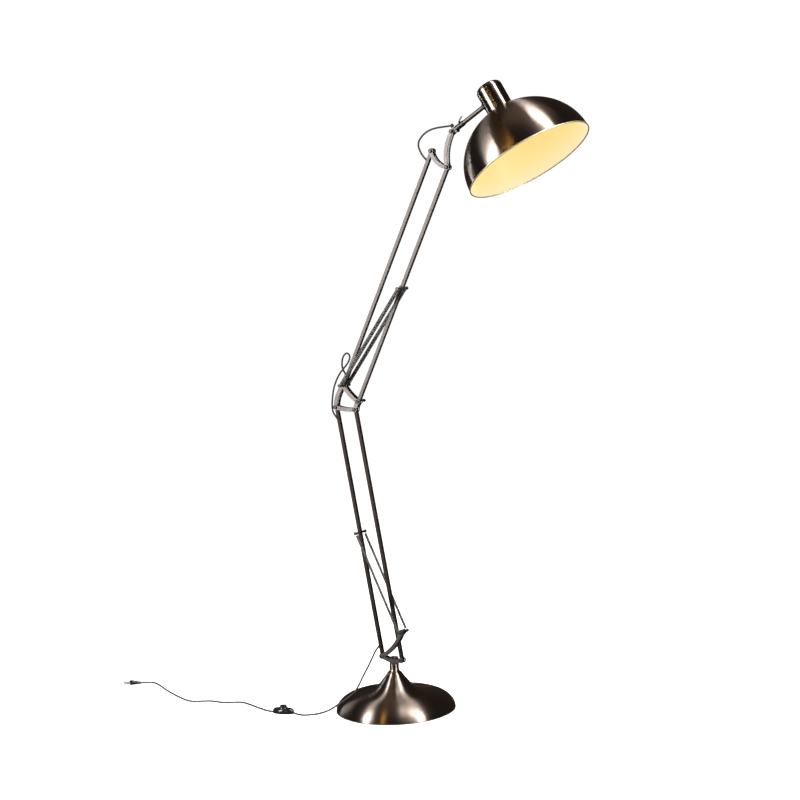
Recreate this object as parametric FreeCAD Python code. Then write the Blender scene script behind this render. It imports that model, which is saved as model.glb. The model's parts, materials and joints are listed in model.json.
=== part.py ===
"""Adjustable arm floor lamp: weighted base, two parallel-link arms with springs, spun dome shade.

Units are millimetres. The origin is the centre of the base's underside, on the floor.
+Z is up and +X is forward, from the stem towards the shade. The arms fold in the plane Y = 0.
Leans are degrees from vertical, positive forward. Near is the -Y side and far is the +Y side.
"""
import FreeCAD, Part
import math
import os
from FreeCAD import Vector

os.makedirs("parts", exist_ok=True)

# ---- driving dimensions ----

# arms and their pose as stored
LOWER_ROD_LENGTH = 700.0        # pivot to pivot
UPPER_ROD_LENGTH = 694.0
LOWER_LEAN = -9.5
UPPER_LEAN = 27.0
HEAD_TILT = 30.2                # the shade's axis, from straight down, opening forward

# pivots, as (x, z)
LOWER_REAR_PIVOT = (-36.0, 148.5)
LOWER_LINK = (63.0, -6.5)       # from each rear lower pivot to its front one
ELBOW_RISE = (27.5, 60.6)       # elbow: lower rear pivot to upper rear pivot
UPPER_LINK = (46.5, -45.2)      # from each rear upper pivot to its front one
HEAD_RISE = (65.4, 46.1)        # head bracket: rear pivot to tilt pivot
SPRING_ANCHOR_RISE = (68.2, 72.4)   # lower bracket: rear pivot to spring anchor
LOWER_SPRING_PIN_AT = 347.0     # along the rear lower rod, from its lower pivot
UPPER_SPRING_PIN_AT = 343.5     # along the front upper rod, from its lower pivot

# square rods
ROD_WIDTH = 10.0
ROD_WALL = 1.2
ROD_CORNER = 1.3
ROD_OVERHANG = 7.0
ROD_BLOCK_LENGTH = 15.0
WIRE_HOLE_RADIUS = 3.2
WIRE_HOLE_LOW = 28.0            # from the lower pivot of either rear rod
WIRE_HOLE_HIGH = 29.0           # from the upper one
RELIEF_LENGTH = 7.0
RELIEF_TIP_RADIUS = 3.0
RELIEF_ROOT_RADIUS = 3.8

# bracket plates and their fasteners
WASHER_THICKNESS = 0.8          # with its play, between a rod and a plate
PLATE_THICKNESS = 2.5
STRUT_WIDTH = 10.0
ELBOW_STRUT_WIDTH = 11.0
BOSS_RADIUS = 7.5
BOLT_RADIUS = 3.0
HEAD_RADIUS = 5.2
HEAD_HEIGHT = 4.0
WASHER_RADIUS = 5.6
RUNNING_CLEARANCE = 0.06
OPEN_PIVOT_CLEARANCE = 0.4
SEAT_CLEARANCE = 0.05
CLEAR_HOLE = 0.3
WING_SPAN = 15.0
WING_THICKNESS = 2.6
WING_HUB_RADIUS = 5.0
WING_HUB_HEIGHT = 7.0
WING_LEAN = 0.0

# springs
SPRING_RADIUS = 3.7
SPRING_HOOK_RADIUS = 0.9
SPRING_HOOK_LENGTH = 9.0
SPRING_GAP = 0.7                # from a bracket's plate to the inner springs
SPRING_SPACING = 8.3            # from an inner spring to the outer one beside it
SPRING_PIN_END = 5.0            # from the outer springs to the end of their pin
SPRING_PIN_FLANGE = 4.6
SPRING_PIN_FLANGE_THICKNESS = 1.6
COLLAR_WALL = 1.7
COLLAR_HEIGHT = 12.0

# base
BASE_RADIUS = 165.0
BASE_WALL = 1.5
BASE_TOP = 50.5                 # flat of the dome
RIM_WIDTH = 65.0                # the dome's rim is a quarter of an ellipse, this wide
NECK_GAP = 0.7                  # between the shell's neck and the socket in it
NECK_TOP = 130.0
NECK_LENGTH = 14.0              # the straight top of the trumpet
PAD_THICKNESS = 4.0
PAD_INSET = 7.0
WEIGHT_INSET = 27.0
WEIGHT_THICKNESS = 20.0
BASE_PLATE_THICKNESS = 1.5
BASE_BOLT_RADIUS = 4.0
BASE_BOLT_HEAD = 3.0
BASE_BOLT_GRIP = 18.0           # thread inside the socket
SOCKET_WALL = 2.8
SOCKET_FOOT_RADIUS = 24.0
SOCKET_FOOT_HEIGHT = 8.0
STEM_RADIUS = 8.0
STEM_DEPTH = 55.0
BUSH_FLANGE = 2.0
HUB_RADIUS = 12.6
HUB_COLLAR_HEIGHT = 1.0
HUB_HEIGHT = 13.2
HUB_RING_HEIGHT = 3.6

# head
SLEEVE_RADIUS = 7.4
SLEEVE_START = 11.3
SLEEVE_END = 40.0
ARM_RADIUS = 6.0
ARM_BORE_RADIUS = 4.8
ARM_TO_SHADE_AXIS = 148.3
ARM_ABOVE_RIM = 190.0
ARM_START = 15.0
ARM_SEAT = 14.0                 # bottom of the sleeve's bore
ARM_INSIDE_CAP = 7.0
ARM_COLLAR_RADIUS = 8.4
ARM_COLLAR_LENGTH = 3.1
ARM_COLLAR_GAP = 0.4            # to the side of the cap
ARM_NUT_RADIUS = 8.8
ARM_NUT_LENGTH = 3.0
ARM_NUT_SEAT = 2.4              # inside the side of the cap
GROMMET_AT = 7.0
GROMMET_RADIUS = 4.8
GROMMET_TOP = 18.5
CLAMP_AT = 30.0
CLAMP_RADIUS = 1.5
CLAMP_HEAD_RADIUS = 3.2
CLAMP_BLADE = 2.0
CLAMP_BLADE_RISE = (13.0, 6.0)  # from the screw's head, along the arm and away from it
CLAMP_BLADE_WIDTH = 3.8

# shade, lamp holder and bulb, on the shade's own axis with z = 0 at the rim
SHADE_RADIUS = 171.0
SHADE_HEIGHT = 156.0
SHADE_WALL = 1.0
SHADE_HOLE_RADIUS = 20.0
RIM_BEAD_RADIUS = 1.7
CAP_RADIUS = 35.0
CAP_TOP = 230.0
CAP_CORNER = 14.0
CAP_WALL = 1.0
HOLDER_RADIUS = 17.0
HOLDER_SHOULDER_RADIUS = 24.0
HOLDER_SKIRT_RADIUS = 18.5
HOLDER_MOUTH = 138.0
HOLDER_TOP = 200.0
HOLDER_SHOULDER_HEIGHT = 4.0
HOLDER_PLATE_THICKNESS = 1.9
NIPPLE_RADIUS = 5.0
NIPPLE_BORE_RADIUS = 3.2
NIPPLE_LENGTH = 9.9
RING_HEIGHT = 5.0
BULB_RADIUS = 30.0
BULB_CENTRE = 100.0
BULB_WALL = 1.0
BULB_NECK_RADIUS = 14.0
BULB_CAP_RADIUS = 13.0
BULB_CAP_LENGTH = 27.0

# cord, foot switch and plug
CORD_RADIUS = 2.5
CORD_LEVEL = 2.6                # the cord's axis where it lies on the floor
SWITCH_CENTRE = (-271.0, -156.0)
SWITCH_HEADING = 11.0
SWITCH_LENGTH = 63.0
SWITCH_WIDTH = 31.0
SWITCH_HEIGHT = 15.0
SWITCH_BASE_THICKNESS = 3.0
SWITCH_WALL = 1.6
SWITCH_ROUNDING = 7.0
SWITCH_CONTACT_HEIGHT = 4.0
BUTTON_RADIUS = 9.6
BUTTON_TRAVEL = 3.0
BUTTON_RISE = 8.0
BUTTON_GUIDE_RADIUS = 12.5
BUTTON_CLEARANCE = 0.3
PLUG_ENTRY = (-876.0, -57.0, 2.6)
PLUG_HEADING = 227.0
PLUG_LENGTH = 34.0
PLUG_WIDTH = 17.0
PLUG_THICKNESS = 13.0
PLUG_PIN_RADIUS = 2.0
PLUG_PIN_LENGTH = 19.0
PLUG_PIN_SPACING = 18.6

# ---- values that follow from them ----

ORIGIN = Vector(0, 0, 0)
UP = Vector(0, 0, 1)
ACROSS = Vector(0, 1, 0)
ROD_HALF = ROD_WIDTH / 2
PLATE_INNER = ROD_HALF + WASHER_THICKNESS
PLATE_OUTER = PLATE_INNER + PLATE_THICKNESS
INNER_SPRING_Y = PLATE_OUTER + SPRING_GAP + SPRING_RADIUS
OUTER_SPRING_Y = INNER_SPRING_Y + SPRING_SPACING
SPRING_PIN_REACH = OUTER_SPRING_Y + SPRING_PIN_END
COLLAR_WIDTH = ROD_WIDTH + 2 * COLLAR_WALL
SOCKET_RADIUS = STEM_RADIUS + SOCKET_WALL
NECK_RADIUS = SOCKET_RADIUS + NECK_GAP + BASE_WALL
WEIGHT_RADIUS = BASE_RADIUS - WEIGHT_INSET
CAP_WALL_AT = ARM_TO_SHADE_AXIS - CAP_RADIUS    # the cap's near side, along the arm


def added(a, b):
    return (a[0] + b[0], a[1] + b[1])


def along(start, lean, distance):
    """The point at a distance from start, in the arms' plane, in the direction of a lean."""
    turn = math.radians(lean)
    return (start[0] + distance * math.sin(turn), start[1] + distance * math.cos(turn))


L1 = LOWER_REAR_PIVOT
L2 = added(L1, LOWER_LINK)
P1 = along(L1, LOWER_LEAN, LOWER_ROD_LENGTH)
P2 = added(P1, LOWER_LINK)
P3 = added(P1, ELBOW_RISE)
P4 = added(P3, UPPER_LINK)
P5 = along(P3, UPPER_LEAN, UPPER_ROD_LENGTH)
P6 = added(P5, UPPER_LINK)
P7 = added(P5, HEAD_RISE)
SPRING_ANCHOR = added(L1, SPRING_ANCHOR_RISE)
LOWER_SPRING_PIN = along(L1, LOWER_LEAN, LOWER_SPRING_PIN_AT)
UPPER_SPRING_PIN = along(P4, UPPER_LEAN, UPPER_SPRING_PIN_AT)
STEM_SEAT = NECK_TOP + BUSH_FLANGE

# ---- helpers ----


def at(point, y=0.0):
    """An (x, z) point of the arms' plane, as a vector."""
    return Vector(point[0], y, point[1])


def placed(shape, pivot, lean):
    """Turns a shape made upright at the origin to its lean, and moves it to its pivot."""
    shape.rotate(ORIGIN, ACROSS, lean)
    shape.translate(at(pivot))
    return shape


def rod(start, end, radius):
    """A cylinder between two points."""
    axis = end - start
    return Part.makeCylinder(radius, axis.Length, start, axis)


def cross_pin(point, radius, y_start, y_end):
    """A cylinder across the arms' plane."""
    return rod(at(point, y_start), at(point, y_end), radius)


def turned(start, *steps):
    """A solid of revolution about Z. Steps are (r, z) for a line or (r, z, r, z) for an arc."""
    edges = []
    here = Vector(start[0], 0, start[1])
    first = here
    for step in steps:
        there = Vector(step[-2], 0, step[-1])
        if len(step) == 4:
            middle = Vector(step[0], 0, step[1])
            edges.append(Part.Arc(here, middle, there).toShape())
        else:
            edges.append(Part.LineSegment(here, there).toShape())
        here = there
    edges.append(Part.LineSegment(here, first).toShape())
    face = Part.Face(Part.Wire(edges))
    return face.revolve(ORIGIN, UP, 360)


def corner(centre_r, centre_z, radius):
    """The middle of a quarter round that faces up and out."""
    reach = radius * math.sqrt(0.5)
    return (centre_r + reach, centre_z + reach)


def group(shapes):
    return Part.makeCompound(shapes)


def export(name, shape):
    for solid in shape.Solids:
        assert solid.isValid(), name
    shape.exportStep(f"parts/{name}.step")


# ---- plates, fasteners and rods ----


def strut(start, end, width, bow):
    """A flat link with round ends in the plane Y = 0. Its middle bows to the left of its way."""
    a = at(start)
    b = at(end)
    way = (b - a).normalize()
    left = Vector(-way.z, 0, way.x)
    middle = (a + b) / 2 + left * bow
    spine = Part.Wire([Part.Arc(a, middle, b).toShape()])
    return Part.Face(spine.makeOffset2D(width / 2, 0, False, False))


def plate(struts, holes, side):
    """One stamped plate of a bracket: its links joined, with a boss and a hole for each bolt.

    side is -1 for the near plate and 1 for the far one.
    """
    low = PLATE_INNER if side > 0 else -PLATE_OUTER
    high = low + PLATE_THICKNESS
    pieces = [cross_pin(hole, BOSS_RADIUS, low, high) for hole in holes]
    for link in struts:
        link.translate(ACROSS * low)
        pieces.append(link.extrude(ACROSS * PLATE_THICKNESS))
    body = pieces[0].fuse(pieces[1:]).removeSplitter()
    for hole in holes:
        body = body.cut(cross_pin(hole, BOLT_RADIUS + SEAT_CLEARANCE, low - 1, high + 1))
    return body


def domed_head(point, side):
    """A low domed head on the outside of a plate."""
    start = at(point, side * PLATE_OUTER)
    head = Part.makeCylinder(HEAD_RADIUS, HEAD_HEIGHT, start, ACROSS * side)
    rim = [edge for edge in head.Edges if abs(edge.CenterOfMass.y) > PLATE_OUTER + HEAD_HEIGHT - 0.01]
    return head.makeFillet(HEAD_HEIGHT * 0.45, rim)


def pivot_bolt(point):
    """A bolt with its domed head near, and its domed nut far, as two solids."""
    nut = domed_head(point, 1)
    thread = cross_pin(point, BOLT_RADIUS, -PLATE_OUTER - 1, PLATE_OUTER + HEAD_HEIGHT / 2)
    bolt = domed_head(point, -1).fuse(thread)
    thread_end = PLATE_OUTER + HEAD_HEIGHT / 2 + SEAT_CLEARANCE
    nut = nut.cut(cross_pin(point, BOLT_RADIUS + SEAT_CLEARANCE, 0, thread_end))
    return [bolt.removeSplitter(), nut]


def winged_bolt(point):
    """A bolt whose far end takes a wing nut."""
    thread = cross_pin(point, BOLT_RADIUS, -PLATE_OUTER - 1, PLATE_OUTER + WING_HUB_HEIGHT)
    return domed_head(point, -1).fuse(thread).removeSplitter()


def wing_nut(point, lean):
    """A wing nut on the far side: a hub with two rounded wings."""
    base = PLATE_OUTER + RUNNING_CLEARANCE
    hub = Part.makeCone(WING_HUB_RADIUS, WING_HUB_RADIUS * 0.8, WING_HUB_HEIGHT, Vector(0, base, 0), ACROSS)
    wings = []
    for side in (-1, 1):
        tip = Vector(side * (WING_SPAN - WING_HUB_RADIUS), 0, 0)
        blade = strut((0, 0), (tip.x, 2), WING_HUB_RADIUS * 1.5, side * 1.5)
        blade = blade.extrude(ACROSS * WING_THICKNESS)
        blade.translate(ACROSS * (base + WING_HUB_HEIGHT * 0.5))
        wings.append(blade)
    nut = hub.fuse(wings).removeSplitter()
    bore = rod(ORIGIN, Vector(0, base + WING_HUB_HEIGHT * 2, 0), BOLT_RADIUS + RUNNING_CLEARANCE)
    return placed(nut.cut(bore), point, lean)


def washers(points):
    """The nylon washers between a rod's sides and the plates, two at each pivot."""
    rings = []
    for point in points:
        for side in (-1, 1):
            inner = side * (ROD_HALF + SEAT_CLEARANCE)
            outer = side * (PLATE_INNER - SEAT_CLEARANCE)
            ring = cross_pin(point, WASHER_RADIUS, inner, outer)
            hole = cross_pin(point, BOLT_RADIUS + 2 * SEAT_CLEARANCE, inner - side, outer + side)
            rings.append(ring.cut(hole))
    return group(rings)


def square_bar(width, corner_radius, z_start, z_end):
    """An upright square bar with rounded corners, centred on the Z axis."""
    bar = Part.makeBox(width, width, z_end - z_start, Vector(-width / 2, -width / 2, z_start))
    upright = [edge for edge in bar.Edges if abs(edge.BoundBox.ZLength - (z_end - z_start)) < 1e-6]
    return bar.makeFillet(corner_radius, upright)


def rod_tube(length, low_bore, high_bore, cross_holes=(), wire_holes=()):
    """A square tube from its lower pivot at the origin, with a bored block in each end."""
    outer = square_bar(ROD_WIDTH, ROD_CORNER, -ROD_OVERHANG, length + ROD_OVERHANG)
    inside = ROD_WIDTH - 2 * ROD_WALL
    bore = square_bar(inside, ROD_CORNER / 2, -ROD_OVERHANG - 1, length + ROD_OVERHANG + 1)
    tube = outer.cut(bore)
    block_width = inside - 2 * SEAT_CLEARANCE
    low_block = square_bar(block_width, ROD_CORNER / 2, -ROD_OVERHANG, ROD_BLOCK_LENGTH - ROD_OVERHANG)
    high_end = length + ROD_OVERHANG
    high_block = square_bar(block_width, ROD_CORNER / 2, high_end - ROD_BLOCK_LENGTH, high_end)
    for height, radius in ((0.0, low_bore), (length, high_bore)):
        cutter = cross_pin((0, height), radius, -ROD_WIDTH, ROD_WIDTH)
        tube = tube.cut(cutter)
        low_block = low_block.cut(cutter)
        high_block = high_block.cut(cutter)
    for height in cross_holes:
        tube = tube.cut(cross_pin((0, height), BOLT_RADIUS + SEAT_CLEARANCE, -ROD_WIDTH, ROD_WIDTH))
    for height in wire_holes:
        tube = tube.cut(rod(Vector(-ROD_WIDTH, 0, height), Vector(0, 0, height), WIRE_HOLE_RADIUS))
    return group([tube, low_block, high_block])


def strain_relief(tip, way):
    """A short rubber cone round the cord where it goes into a rod. The way points inwards."""
    into = Vector(*way).normalize()
    return Part.makeCone(RELIEF_TIP_RADIUS, RELIEF_ROOT_RADIUS, RELIEF_LENGTH, Vector(*tip), into)


# ---- springs and their pins ----


def flanged_pin(point, y_start, y_end):
    """Half of a spring pin: a plain shank with a flange at its outer end."""
    side = 1 if y_end > y_start else -1
    flange = cross_pin(point, SPRING_PIN_FLANGE, y_end - side * SPRING_PIN_FLANGE_THICKNESS, y_end)
    return cross_pin(point, BOLT_RADIUS, y_start, y_end).fuse(flange)


def spring_pin(point):
    """A pin right across the plates or a rod, flanged at both ends."""
    near = flanged_pin(point, 0, -SPRING_PIN_REACH)
    far = flanged_pin(point, 0, SPRING_PIN_REACH)
    return near.fuse(far).removeSplitter()


def spring_anchors():
    """The two stub pins that stand out of the lower bracket's plates, with flared roots."""
    stubs = []
    for side in (-1, 1):
        root = at(SPRING_ANCHOR, side * PLATE_OUTER)
        flare = Part.makeCone(BOSS_RADIUS - 1.5, BOLT_RADIUS, BOSS_RADIUS, root, ACROSS * side)
        pin = flanged_pin(SPRING_ANCHOR, side * PLATE_INNER, side * SPRING_PIN_REACH)
        stubs.append(pin.fuse(flare).removeSplitter())
    return group(stubs)


def spring(start, end, y):
    """A coil spring's outer shape, with a thinner hook at each end that reaches its pin."""
    way = (at(end) - at(start)).normalize()
    low = at(start, y) + way * SPRING_HOOK_LENGTH
    high = at(end, y) - way * SPRING_HOOK_LENGTH
    gap = BOLT_RADIUS + 3 * SEAT_CLEARANCE
    hooks = rod(at(start, y) + way * gap, at(end, y) - way * gap, SPRING_HOOK_RADIUS)
    return rod(low, high, SPRING_RADIUS).fuse(hooks).removeSplitter()


def upper_spring_collar():
    """The block clamped round the front upper rod, with the springs' pin through it."""
    half = COLLAR_HEIGHT / 2
    block = square_bar(COLLAR_WIDTH, ROD_CORNER, -half, half)
    block = block.cut(square_bar(ROD_WIDTH + 2 * SEAT_CLEARANCE, ROD_CORNER, -half - 1, half + 1))
    block = block.cut(cross_pin((0, 0), BOLT_RADIUS + SEAT_CLEARANCE, -COLLAR_WIDTH, COLLAR_WIDTH))
    return group([placed(block, UPPER_SPRING_PIN, UPPER_LEAN), spring_pin(UPPER_SPRING_PIN)])


# ---- base ----


def base_solid(inset):
    """The solid inside the base shell's surface, moved inwards by an inset."""
    low = PAD_THICKNESS
    top = BASE_TOP - inset
    flat = BASE_RADIUS - RIM_WIDTH
    wide = RIM_WIDTH - inset
    neck = NECK_RADIUS - inset
    neck_low = NECK_TOP - NECK_LENGTH
    quarter = Part.Ellipse(Vector(wide, 0, 0), Vector(0, 0, top - low), ORIGIN).toShape(0, math.pi / 2)
    quarter.translate(Vector(flat, 0, low))
    shares = ((0.765, 0.04), (0.535, 0.16), (0.35, 0.375), (0.247, 0.55), (0.135, 0.735), (0.055, 0.88))
    trumpet = [Vector(flat, 0, top)]
    for across, up in shares:
        trumpet.append(Vector(neck + across * (flat - neck), 0, top + up * (neck_low - top)))
    trumpet.append(Vector(neck, 0, neck_low))
    curve = Part.BSplineCurve()
    curve.interpolate(Points=trumpet, InitialTangent=Vector(-1, 0, 0), FinalTangent=UP)
    ends = [Vector(neck, 0, neck_low), Vector(neck, 0, NECK_TOP), Vector(0, 0, NECK_TOP)]
    ends += [Vector(0, 0, low), Vector(flat + wide, 0, low)]
    sides = [Part.LineSegment(a, b).toShape() for a, b in zip(ends, ends[1:])]
    return Part.Face(Part.Wire([quarter, curve.toShape()] + sides)).revolve(ORIGIN, UP, 360)


def base_shell():
    """Spun shell: a shallow dome that rises into a trumpet neck."""
    return base_solid(0).cut(base_solid(BASE_WALL))


def base_plate():
    """Steel disc that closes the underside, pressed into the shell."""
    low = Vector(0, 0, PAD_THICKNESS)
    high = Vector(0, 0, PAD_THICKNESS + BASE_PLATE_THICKNESS)
    disc = rod(low, high, BASE_RADIUS - BASE_WALL)
    return disc.cut(rod(low, high, BASE_BOLT_RADIUS + CLEAR_HOLE))


def base_weight():
    """Cast iron disc inside the dome, on the plate."""
    low = PAD_THICKNESS + BASE_PLATE_THICKNESS
    high = low + WEIGHT_THICKNESS
    chamfer = WEIGHT_THICKNESS / 2
    disc = turned((0, low), (WEIGHT_RADIUS, low), (WEIGHT_RADIUS, high - chamfer),
                  (WEIGHT_RADIUS - chamfer, high), (0, high))
    return disc.cut(rod(Vector(0, 0, low), Vector(0, 0, high), BASE_BOLT_RADIUS + CLEAR_HOLE))


def base_pad():
    """Felt disc under the plate, with a hollow over the bolt's head."""
    radius = BASE_RADIUS - PAD_INSET
    disc = turned((0, 0), (radius - 1, 0), (radius, 1), (radius, PAD_THICKNESS), (0, PAD_THICKNESS))
    pocket = rod(Vector(0, 0, PAD_THICKNESS - BASE_BOLT_HEAD - CLEAR_HOLE), Vector(0, 0, PAD_THICKNESS),
                 2 * BASE_BOLT_RADIUS + CLEAR_HOLE)
    return disc.cut(pocket)


def base_bolt():
    """Bolt up through the plate and the weight into the socket."""
    low = PAD_THICKNESS
    length = BASE_PLATE_THICKNESS + WEIGHT_THICKNESS + BASE_BOLT_GRIP
    head = rod(Vector(0, 0, low - BASE_BOLT_HEAD), Vector(0, 0, low), 2 * BASE_BOLT_RADIUS)
    shank = rod(Vector(0, 0, low - 1), Vector(0, 0, low + length), BASE_BOLT_RADIUS)
    return head.fuse(shank).removeSplitter()


def stem_socket():
    """Steel tube that stands on the weight inside the neck and carries the swivel stem."""
    low = PAD_THICKNESS + BASE_PLATE_THICKNESS + WEIGHT_THICKNESS
    foot = rod(Vector(0, 0, low), Vector(0, 0, low + SOCKET_FOOT_HEIGHT), SOCKET_FOOT_RADIUS)
    tube = rod(Vector(0, 0, low), Vector(0, 0, NECK_TOP), SOCKET_RADIUS).fuse(foot)
    bottom = Vector(0, 0, NECK_TOP - STEM_DEPTH - 5)
    bore = rod(bottom, Vector(0, 0, NECK_TOP), STEM_RADIUS + RUNNING_CLEARANCE)
    thread = rod(Vector(0, 0, low), Vector(0, 0, low + BASE_BOLT_GRIP + 2), BASE_BOLT_RADIUS + SEAT_CLEARANCE)
    return tube.removeSplitter().cut(bore).cut(thread)


def neck_bush():
    """Nylon ring on top of the neck that the hub turns on."""
    low = Vector(0, 0, NECK_TOP)
    high = Vector(0, 0, STEM_SEAT - SEAT_CLEARANCE)
    return rod(low, high, NECK_RADIUS).cut(rod(low, high, STEM_RADIUS + RUNNING_CLEARANCE))


# ---- lower bracket ----


def swivel_stem():
    """Stem that turns in the socket, its hub with flats for the bracket's plates, and its ring."""
    collar_top = STEM_SEAT + HUB_COLLAR_HEIGHT
    ring_low = STEM_SEAT + HUB_HEIGHT
    ring_top = ring_low + HUB_RING_HEIGHT
    shank = rod(Vector(0, 0, NECK_TOP - STEM_DEPTH), Vector(0, 0, collar_top), STEM_RADIUS)
    collar = rod(Vector(0, 0, STEM_SEAT), Vector(0, 0, collar_top), HUB_RADIUS)
    hub = rod(Vector(0, 0, STEM_SEAT), Vector(0, 0, ring_low + 1), HUB_RADIUS)
    flats = Part.makeBox(4 * HUB_RADIUS, 2 * (PLATE_INNER - SEAT_CLEARANCE), 2 * HUB_HEIGHT)
    flats.translate(Vector(-2 * HUB_RADIUS, -PLATE_INNER + SEAT_CLEARANCE, STEM_SEAT))
    rim = HUB_RING_HEIGHT * 0.3
    ring = turned((0, ring_low), (HUB_RADIUS, ring_low), (HUB_RADIUS, ring_top - rim),
                  (HUB_RADIUS - rim, ring_top), (HUB_RADIUS - 4 * rim, ring_top),
                  (HUB_RADIUS - 5 * rim, ring_low + rim), (0, ring_low + rim))
    return hub.common(flats).fuse([shank, collar, ring]).removeSplitter()


def lower_plate(side):
    """Two ears for the lower pivots, joined at the hub, and the curved arm to the spring anchor."""
    low = STEM_SEAT + HUB_COLLAR_HEIGHT + CLEAR_HOLE + STRUT_WIDTH / 2
    rear = (-HUB_RADIUS * 0.5, low)
    front = (HUB_RADIUS * 0.5, low)
    struts = [
        strut(rear, L1, STRUT_WIDTH, 1.0),
        strut(rear, front, STRUT_WIDTH, 0.3),
        strut(front, L2, STRUT_WIDTH, -1.0),
        strut(L1, SPRING_ANCHOR, STRUT_WIDTH, -8.0),
    ]
    return plate(struts, [L1, L2, SPRING_ANCHOR], side)


# ---- elbow ----


def elbow_plate(side):
    """Three-cornered frame with curved sides, and a short nose that takes the wing nut's bolt."""
    struts = [
        strut(P1, P3, ELBOW_STRUT_WIDTH, 6.0),
        strut(P3, P4, ELBOW_STRUT_WIDTH, -3.5),
        strut(P1, P2, ELBOW_STRUT_WIDTH, -3.0),
        strut(P2, P4, ELBOW_STRUT_WIDTH, 0.5),
    ]
    return plate(struts, [P1, P2, P3, P4], side)


# ---- head bracket ----


def head_plate(side):
    """A hook between the upper rods' ends, and a bowed link up to the tilt pivot."""
    struts = [
        strut(P5, P6, STRUT_WIDTH, -10.0),
        strut(P6, P7, STRUT_WIDTH, 9.0),
    ]
    return plate(struts, [P5, P6, P7], side)


# ---- head: all on the arm's axis, with the tilt pivot at the origin ----


def head_placed(shape):
    return placed(shape, P7, -HEAD_TILT)


def head_sleeve():
    """Tongue between the head bracket's plates, and the socket that the shade's arm turns in."""
    tongue = cross_pin((0, 0), ROD_HALF + 2, -ROD_HALF, ROD_HALF)
    neck = Part.makeBox(SLEEVE_RADIUS * 2, ROD_WIDTH, SLEEVE_RADIUS * 2)
    neck.translate(Vector(0, -ROD_HALF, -SLEEVE_RADIUS))
    barrel = rod(Vector(SLEEVE_START, 0, 0), Vector(SLEEVE_END, 0, 0), SLEEVE_RADIUS)
    sleeve = tongue.fuse([neck, barrel]).removeSplitter()
    sleeve = sleeve.cut(cross_pin((0, 0), BOLT_RADIUS + RUNNING_CLEARANCE, -ROD_WIDTH, ROD_WIDTH))
    bore = rod(Vector(ARM_SEAT, 0, 0), Vector(SLEEVE_END + 1, 0, 0), ARM_RADIUS + RUNNING_CLEARANCE)
    sleeve = sleeve.cut(bore)
    clamp = rod(Vector(CLAMP_AT, 0, ARM_RADIUS), Vector(CLAMP_AT, 0, 20), CLAMP_RADIUS + RUNNING_CLEARANCE)
    return head_placed(sleeve.cut(clamp))


def cord_grommet():
    """Rubber boss on the sleeve's back that the cord leaves from the side."""
    low = Vector(GROMMET_AT, 0, SLEEVE_RADIUS - 1)
    boss = rod(low, Vector(GROMMET_AT, 0, GROMMET_TOP), GROMMET_RADIUS)
    rim = [edge for edge in boss.Edges if edge.CenterOfMass.z > GROMMET_TOP - 0.01]
    return head_placed(boss.makeFillet(GROMMET_RADIUS * 0.6, rim))


def arm_clamp_screw():
    """Thumb screw that locks the arm in its sleeve, with a thin slanting blade."""
    low = ARM_RADIUS + 3 * SEAT_CLEARANCE
    thread = rod(Vector(CLAMP_AT, 0, low), Vector(CLAMP_AT, 0, SLEEVE_RADIUS + 4), CLAMP_RADIUS)
    head_low = Vector(CLAMP_AT, 0, SLEEVE_RADIUS + 0.4)
    head = rod(head_low, Vector(CLAMP_AT, 0, SLEEVE_RADIUS + 3), CLAMP_HEAD_RADIUS)
    blade_root = (CLAMP_AT, SLEEVE_RADIUS + 3.5)
    blade = strut(blade_root, added(blade_root, CLAMP_BLADE_RISE), CLAMP_BLADE_WIDTH, 0.6)
    blade = blade.extrude(ACROSS * CLAMP_BLADE)
    blade.translate(ACROSS * (-CLAMP_BLADE / 2))
    return head_placed(thread.fuse([head, blade]).removeSplitter())


def arm_tube():
    """Round tube from the sleeve into the cap."""
    start = Vector(ARM_START, 0, 0)
    end = Vector(CAP_WALL_AT + ARM_INSIDE_CAP, 0, 0)
    return head_placed(rod(start, end, ARM_RADIUS).cut(rod(start, end, ARM_BORE_RADIUS)))


def arm_nuts():
    """A collar outside the cap and a nut inside it, which fix the arm."""
    hole_radius = ARM_RADIUS + SEAT_CLEARANCE
    collar_end = CAP_WALL_AT - ARM_COLLAR_GAP
    nut_start = CAP_WALL_AT + ARM_NUT_SEAT
    spans = (
        (collar_end - ARM_COLLAR_LENGTH, collar_end, ARM_COLLAR_RADIUS),
        (nut_start, nut_start + ARM_NUT_LENGTH, ARM_NUT_RADIUS),
    )
    rings = []
    for start, end, radius in spans:
        ring = rod(Vector(start, 0, 0), Vector(end, 0, 0), radius)
        rings.append(ring.cut(rod(Vector(start, 0, 0), Vector(end, 0, 0), hole_radius)))
    return head_placed(group(rings))


# ---- shade, on its own axis with the rim at z = 0 ----


def shade_placed(shape):
    shape.translate(Vector(ARM_TO_SHADE_AXIS, 0, -ARM_ABOVE_RIM))
    return head_placed(shape)


def dome_height(radius, offset=0.0):
    """Height of the dome's surface, moved inwards by an offset, at a distance from its axis."""
    share = radius / (SHADE_RADIUS - offset)
    return (SHADE_HEIGHT - offset) * math.sqrt(1 - share * share)


def half_spheroid(offset):
    """The solid inside the dome's surface, moved inwards by an offset."""
    wide = Vector(SHADE_RADIUS - offset, 0, 0)
    high = Vector(0, 0, SHADE_HEIGHT - offset)
    curve = Part.Ellipse(wide, high, ORIGIN).toShape(0, math.pi / 2)
    sides = [Part.LineSegment(high, ORIGIN).toShape(), Part.LineSegment(ORIGIN, wide).toShape()]
    return Part.Face(Part.Wire([curve] + sides)).revolve(ORIGIN, UP, 360)


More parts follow.
